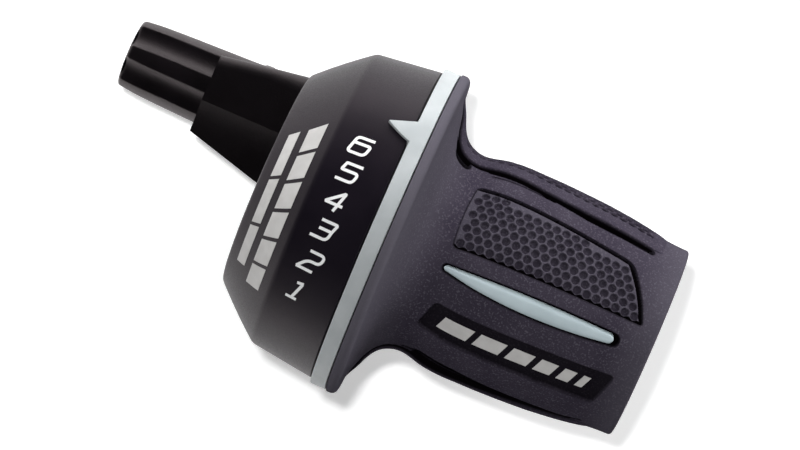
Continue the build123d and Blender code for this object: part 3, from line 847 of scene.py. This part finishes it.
def add_slab(name, run, angle, height, foot, material, painted_shade, wear_and_sheen):
    """Closed slab of rubber over a grid of places, with an underside of fewer points."""
    rows, columns = run.shape
    picked = np.unique(np.linspace(0, columns - 1, slab_columns).round().astype(int))
    top = on_rubber(run, angle, height).reshape(-1, 3)
    below = on_rubber(run[:, picked], angle[:, picked], foot).reshape(-1, 3)
    base = rows * columns
    few = len(picked)
    faces = grid_faces(rows, columns)
    faces += [[base + k for k in face[::-1]] for face in grid_faces(rows, few)]
    for i in range(rows - 1):
        for j, k in ((0, 0), (columns - 1, few - 1)):
            side = [i * columns + j, (i + 1) * columns + j, base + (i + 1) * few + k, base + i * few + k]
            faces.append(side if j == 0 else side[::-1])
    for i in (0, rows - 1):
        ends = [i * columns + j for j in range(columns)] + [base + i * few + k for k in range(few)][::-1]
        faces.append(ends[::-1] if i == 0 else ends)
    points = np.concatenate([top, below])
    # Painted shade: the underside dark all over; wear and painted sheen only on top
    shades = {
        "painted_shade": np.concatenate([np.ravel(painted_shade), np.ones(len(below))]),
        "wear_and_sheen": np.concatenate([np.ravel(wear_and_sheen), np.zeros(len(below))]),
    }
    return add_piece(name, points, faces, material, "grip", ["grip_rubber"], shades)


def add_tread(material):
    """Thumb tread with dimples, set into its recess behind a groove, with a scalloped lower edge."""
    corners = [np.array(p) + gap for p, gap in zip(on_arc(tread_corners), tread_gaps)]
    low_left, low_right, top_right, top_left = corners
    low_bow, right_bow, top_bow, left_bow = (np.array(p) for p in on_arc(tread_bows))
    a, b = np.meshgrid(*(np.linspace(0, 1, count) for count in tread_grid), indexing="ij")
    a, b = a[..., None], b[..., None]
    place = (
        (1 - b) * bowed_side(low_left, low_right, low_bow, a)
        + b * bowed_side(top_left, top_right, top_bow, a)
        + (1 - a) * bowed_side(low_left, top_left, left_bow, b)
        + a * bowed_side(low_right, top_right, right_bow, b)
        - (1 - a) * (1 - b) * low_left - a * (1 - b) * low_right
        - (1 - a) * b * top_left - a * b * top_right
    )
    u, v = place[..., 0], place[..., 1]
    first_u, first_v = low_left[0] + first_dimple[0], first_dimple[1]
    low_edge = np.interp(u, place[:, 0, 0], place[:, 0, 1])
    scallop = scallop_depth * np.abs(np.sin(np.pi * (u - first_u) / dimple_pitch)) ** scallop_power
    v = v + scallop * np.clip(1 - b[..., 0] / scallop_band, 0, 1)
    edge = np.concatenate([place[:, 0], place[-1, 1:], place[-2::-1, -1], place[0, -2:0:-1]])[::6]
    inset = np.minimum(*(np.minimum(t, 1 - t)[..., 0] * span for t, span in zip((a, b), tread_span)))

    def keep(cu, cv):
        low = np.interp(cu + first_u, place[:, 0, 0], place[:, 0, 1])
        return outline_distance(cu + first_u, cv + low + first_v, edge) < -dimple_margin

    share = dimples(u - first_u, v - low_edge - first_v, keep)
    crown = -tread_edge_drop * np.clip(1 - inset / tread_edge, 0, 1) ** 2
    height = crown - dimple_depth * share
    # Painted shade in the dimples, and wear with painted highlights on the rims between them
    painted_shade, wear_and_sheen = tread_shade * share, tread_wear_and_sheen * (1 - share)
    return add_slab("rubber_tread", u, v / DEGREE, height, -tread_depth - tread_sink, material, painted_shade, wear_and_sheen)


def blurred(run, line, blur, count):
    """Values along a line of (run, value), each the mean over a stretch of it."""
    return np.mean([np.interp(run + shift, *zip(*line)) for shift in np.linspace(-blur, blur, count)], axis=0)


def add_pad(name, start_line, end_line, start_border, end_border, material):
    """Raised pad behind, with dimples inside a smooth border."""
    heights = [(run_at(x), rise) for x, rise in pad_heights]
    first, last = heights[0][0], heights[-1][0]
    run = np.linspace(first, last, round((last - first) / pad_step))
    start, end = (
        blurred(run, [(run_at(x), angle) for x, angle in line], pad_edge_blur, 3)
        for line in (start_line, end_line)
    )
    across = np.linspace(0, 1, round(np.max(end - start) * DEGREE / pad_step))
    angle = start[:, None] + (end - start)[:, None] * across
    run = np.broadcast_to(run[:, None], angle.shape)
    rise = blurred(run, heights, pad_rise_blur, 9)
    width = (end - start)[:, None] * DEGREE
    from_start = width * across
    shoulder = np.clip(1 - np.minimum(from_start, width - from_start) / pad_round, 0, 1)
    drop = pad_round * (1 - np.sqrt(1 - shoulder ** 2))

    def keep(cu, cv):
        long_enough = (cu > run_at(pad_dimples[0])) & (cu < run_at(pad_dimples[1]))
        return long_enough & (cv > -pad_slack) & (cv < width - start_border - end_border - 2 * dimple_r)

    share = dimples(run, from_start - start_border - dimple_r, keep)
    height = rise - drop - dimple_depth * share
    # Painted shade in the dimples and down the rounded shoulders at the pad's sides
    painted_shade = np.maximum(pad_shade * share, shoulder ** 2)
    return add_slab(name, run, angle, height, -pad_foot, material, painted_shade, np.zeros(share.shape))


def add_rubber(material):
    add_rubber_body(material)
    add_tread(material)
    for number, (start_line, end_line) in enumerate(pad_edges, 1):
        borders = [pad_wide_border if len(line) > 1 else pad_border for line in (start_line, end_line)]
        add_pad(f"rubber_pad_{number}", start_line, end_line, *borders, material)


def add_lens(material):
    """Pale lens, crowned across its width."""
    run, half, middle = lens_profile(0.0, 0.0)
    b = np.linspace(-1, 1, lens_columns)
    w = middle[:, None] + half[:, None] * b
    height = np.broadcast_to(-lens_sink - lens_crown * b ** 4 - lens_tilt * np.clip(b, 0, 1) ** 3, w.shape)
    run = np.broadcast_to(run[:, None], w.shape)
    top = on_rubber(run, w / DEGREE, height).reshape(-1, 3)
    below = on_rubber(run, w / DEGREE, lens_under - lens_depth).reshape(-1, 3)
    points = np.concatenate([top, below])
    faces = plate_faces(*w.shape)
    return add_piece("grip_lens", points, faces, material, "grip", ["grip_inlay"])


# Drum cover and pointer ring

def drum_line():
    """Outer line of the drum from its mouth over the soft crease to the rim, as (x, radius)."""
    corners = [
        (x_mouth, mouth_r - shell_lip), (x_mouth, mouth_r), (x_crease, crease_r),
        (x_rim, rim_r), (x_rim, rim_r - shell_lip),
    ]
    line = rounded(corners, [0, mouth_round, crease_round, rim_round, 0], False, count=24)
    along = np.clip((line[:, 0] - x_rim) / (x_crease - x_rim), 0, 1)
    normal = np.array([rim_r - crease_r, x_crease - x_rim])
    normal /= np.linalg.norm(normal)
    return line + (cone_bulge * 4 * along * (1 - along))[:, None] * normal


def drum_radius(x):
    line = drum_line()[::-1]
    return np.interp(x, line[:, 0], line[:, 1])


def on_drum(x, angle, height):
    """Points at a height over the drum and its cone."""
    cosine = np.where(x < x_crease, cone_cosine, band_cosine)
    return polar(x, drum_radius(x) + height / cosine, angle)


def add_cover(material):
    """Front shell of the drum, cut off straight behind the bar."""
    outer = drum_line()
    inner = outer.copy()
    inner[:, 1] = outer[:, 1] - shell_wall
    length = x_mouth - x_rim
    inner[:, 0] = x_rim + shell_wall + (outer[:, 0] - x_rim) * (length - shell_wall) / length
    loop = np.concatenate([outer, inner[::-1]])
    reach = np.degrees(np.arccos(parting_z / loop[:, 1]))
    angle = reach[:, None] * np.linspace(-1, 1, shell_columns)
    points = polar(loop[:, :1], loop[:, 1:], angle)
    rows, columns = angle.shape
    faces = grid_faces(rows, columns, wrap_rows=True)
    for i in range(len(outer) - 1):
        near, far = i, rows - 1 - i
        for j in (0, columns - 1):
            quad = [near * columns + j, (near + 1) * columns + j, (far - 1) * columns + j, far * columns + j]
            faces.append(quad if j else quad[::-1])
    return add_piece("dial_shell", points, faces, material, "housing", ["dial_cover"])


def pointer_reach(angle):
    """How far the ring's left edge reaches at an angle, with the pointer's blunt tip."""
    tip_x, tip_angle = pointer_tip
    upper = (pointer_top - angle) / (pointer_top - tip_angle)
    lower = np.clip((angle - pointer_low) / (tip_angle - pointer_low), 0, None) ** pointer_bow
    share = -pointer_blunt * np.logaddexp(-upper / pointer_blunt, -lower / pointer_blunt)
    return x_ring + (tip_x - x_ring) * np.clip(share, 0, 1)


def add_ring(material):
    """Pale ring with its pointer, soft at its outer edges."""
    coarse = np.arange(pointer_top + pointer_room, pointer_low + 360 - pointer_room, coarse_step)
    fine = np.arange(pointer_low - pointer_room, pointer_top + pointer_room, fine_step)
    angle = np.concatenate([fine, coarse])
    left = pointer_reach(angle)
    lean = (x_ring - left) / (x_ring - pointer_tip[0])
    top = ring_r - pointer_drop * lean
    under = np.where(left < x_ring - hairline, drum_radius(left) + pointer_gap, disc_r + ring_lip)
    bend = [(ring_edge * sin(t), ring_edge * cos(t)) for t in np.radians(np.linspace(0, 90, 5))]
    ring_x, ring_inner = np.full_like(angle, x_ring), np.full_like(angle, disc_r)
    rows = [(np.zeros_like(angle), ring_inner)]
    rows += [(q - ring_edge + 0 * angle, ring_r - ring_edge + p + 0 * angle) for p, q in bend]
    rows += [(left + ring_edge - p, top - ring_edge + q) for p, q in bend]
    rows += [(left, under), (ring_x, under - hairline), (ring_x, ring_inner)]
    points = np.stack([polar(x, r, angle) for x, r in rows])
    faces = grid_faces(len(rows), len(angle), wrap_rows=True, wrap_columns=True)
    return add_piece("pointer_ring", points, faces, material, "grip", ["indicator_ring"])


# Marks: thin raised print on a surface

def add_marks(name, marks, place, material, body):
    """Thin closed plates over a surface, each given by a grid of (u, v) points."""
    points = []
    faces = []
    for grid in marks:
        rows, columns = grid.shape[:2]
        faces += plate_faces(rows, columns, sum(len(p) for p in points))
        for height in (mark_lift, -mark_sink):
            points.append(place(grid[..., 0], grid[..., 1], height).reshape(-1, 3))
    return add_piece(name, np.concatenate(points), faces, material, body)


def stroke(corners, bends, width):
    """Points across a stroke of even width along rounded corners."""
    line = even(rounded(corners, bends, False), stroke_step)
    along = np.gradient(line, axis=0)
    along /= np.linalg.norm(along, axis=1)[:, None]
    side = np.stack([-along[:, 1], along[:, 0]], axis=-1) * width / 2
    return np.stack([line + side, line, line - side], axis=1)


def add_digits(material):
    wide, tall = digit_size
    for digit, strokes in digit_strokes.items():
        middle_x, middle_angle = digit_places[digit]
        marks = []
        for corners in strokes:
            upright = [((p - 0.5) * wide, (q - 0.5) * tall) for p, q, *bend in corners]
            leaning = [(u + v * digit_lean, v) for u, v in upright]
            bends = [sum(bend) for p, q, *bend in corners]
            marks.append(stroke(leaning, bends, digit_stroke))

        def place(u, v, height):
            return on_drum(middle_x + u, middle_angle + v / radians(1) / crease_r, height)

        add_marks(f"digit_{digit}", marks, place, material, "housing")


def slanted_bar(start, stop, low, high, lean, across, up):
    """Points over a bar between two places, from a low to a high edge, that leans to one side."""
    a, b = np.meshgrid(np.linspace(0, 1, across), np.linspace(0, 1, up), indexing="ij")
    return np.stack([start + (stop - start) * a + lean * (b - 0.5), low + (high - low) * b], axis=-1)


def add_cone_bars(material):
    """Two rows of plain slanted bars round the cone, a wide one and a narrow one."""
    marks = []
    for inner, outer, top, low, count, gap, lean in cone_bars:
        long = (top - low - gap * (count - 1)) / count
        for n in range(count):
            start = top - n * (long + gap)
            bar = slanted_bar(start, start - long, inner, outer, lean, *cone_bar_grid)
            marks.append(bar[..., ::-1])
    return add_marks("cone_bars", marks, on_drum, material, "housing")


def add_panel_bars(material):
    """Row of plain slanted bars in the grip's panel, each narrower than the one before."""
    start, first, step, count, gap = panel_bars
    marks = []
    for n in range(count):
        width = first - n * step
        marks.append(slanted_bar(start, start + width, *panel_bar_angles, panel_bar_lean, *panel_bar_grid))
        start += width + gap

    def place(run, angle, height):
        return on_rubber(run, angle, height - panel_depth)

    return add_marks("panel_bars", marks, place, material, "grip")


# Adjuster knob

def add_knob(material):
    """Tapered knob with scooped flutes, a spring room in its base, a stem and a cable seat."""
    corners = [
        (knob_tip_x, knob_seat_r), (knob_tip_x, knob_tip_r), knob_shoulder, (knob_base_x, knob_base_r),
        (knob_base_x, spring_room_r), (knob_base_x - spring_room_depth, spring_room_r),
        (knob_base_x - spring_room_depth, stem_r), (stem_end, stem_r), (stem_end, knob_duct_r),
        (knob_tip_x + knob_seat_depth, knob_duct_r), (knob_tip_x + knob_seat_depth, knob_seat_r),
    ]
    line = rounded(corners, knob_rounds, True, count=16)
    x, base = line[:, :1], line[:, 1:]
    angle = np.linspace(0, 360, knob_columns, endpoint=False)
    half_pitch = 180 / flute_count
    from_flute = np.radians((angle - flute_angle + half_pitch) % (360 / flute_count) - half_pitch)
    centre = base + flute_r - flute_depth
    room = flute_r ** 2 - (centre * np.sin(from_flute)) ** 2
    scooped = np.where(room > 0, centre * np.cos(from_flute) - np.sqrt(np.clip(room, 0, None)), base)
    fluted = (base > spring_room_r + knob_skin) & (x < knob_base_x - knob_collar)
    radius = np.where(fluted, np.minimum(base, scooped), base)
    points = polar(x, radius, angle) + np.array((0, cable_y, cable_z)) * MM
    faces = grid_faces(*radius.shape, wrap_rows=True, wrap_columns=True)
    nodes = ["barrel_adjuster"]
    return add_piece("adjuster_knob", points, faces, material, "barrel_adjuster", nodes)


# Materials of the solids that show as they are

solid_looks = {
    "housing": moulded(
        "black_plastic", jet_black, (0.0035, 0.0028, 0.0035),
        rough=0.5, grain=0.25, depth=0.02, shine=0.8, gleam_colour=warm_gleam,
    ),
    "cable_spool": moulded(
        "spool_plastic", (0.01, 0.01, 0.011), (0.018, 0.018, 0.019), rough=0.4, grain=0.3, depth=0.01,
    ),
    "steel": moulded(
        "steel", (0.4, 0.4, 0.41), (0.52, 0.52, 0.53),
        rough=0.32, grain=0.12, depth=0.006, blotch=1.5, metallic=1.0,
    ),
    "brass": moulded(
        "brass", (0.5, 0.34, 0.12), (0.62, 0.44, 0.18),
        rough=0.3, grain=0.12, depth=0.006, blotch=1.5, metallic=1.0,
    ),
}
node_looks = {
    "housing": "housing",
    "cable_spool": "cable_spool",
    "clamp_insert": "brass",
    "cover_screws": "steel",
    "clamp_screw": "steel",
    "detent_spring": "steel",
    "adjuster_spring": "steel",
}
for name, look in node_looks.items():
    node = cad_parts[name]
    node.data.materials.clear()
    node.data.materials.append(solid_looks[look])

# Pieces, each with its own material

add_rubber(rubber_material())
add_lens(moulded("lens_plastic", (0.42, 0.5, 0.53), (0.475, 0.56, 0.59), rough=0.4, grain=0.2, depth=0.004))
add_cover(moulded(
    "cover_plastic", (0.006, 0.0046, 0.008), (0.008, 0.0062, 0.01),
    rough=0.46, grain=0.22, depth=0.012, shine=0.43, gleam_colour=warm_gleam,
))
add_ring(moulded(
    "ring_plastic", (0.36, 0.385, 0.395), (0.42, 0.445, 0.455), rough=0.45, grain=0.25, depth=0.006,
))
white_ink = moulded(
    "print", (0.78, 0.79, 0.79), (0.84, 0.85, 0.85), rough=0.5, grain=0.2, depth=0.004, blotch=2.0,
)
add_digits(white_ink)
silver_ink = moulded(
    "silver_print", (0.5, 0.49, 0.48), (0.56, 0.55, 0.54), rough=0.5, grain=0.2, depth=0.004, blotch=2.0,
)
add_cone_bars(silver_ink)
add_panel_bars(silver_ink)
add_knob(moulded(
    "knob_plastic", jet_black, (0.004, 0.003, 0.004),
    rough=0.42, grain=0.25, depth=0.015, shine=0.95, gleam_colour=warm_gleam,
))

# Floor, light and camera

bpy.ops.mesh.primitive_plane_add(size=floor_size * MM, location=(0, 0, floor_z * MM))
floor = bpy.context.object
floor.data.materials.append(floor_material())

add_camera()
add_world()
for name, (direction, size, power) in lamps.items():
    add_lamp(name, direction, size, power)
bpy.context.scene.view_settings.view_transform = "Standard"
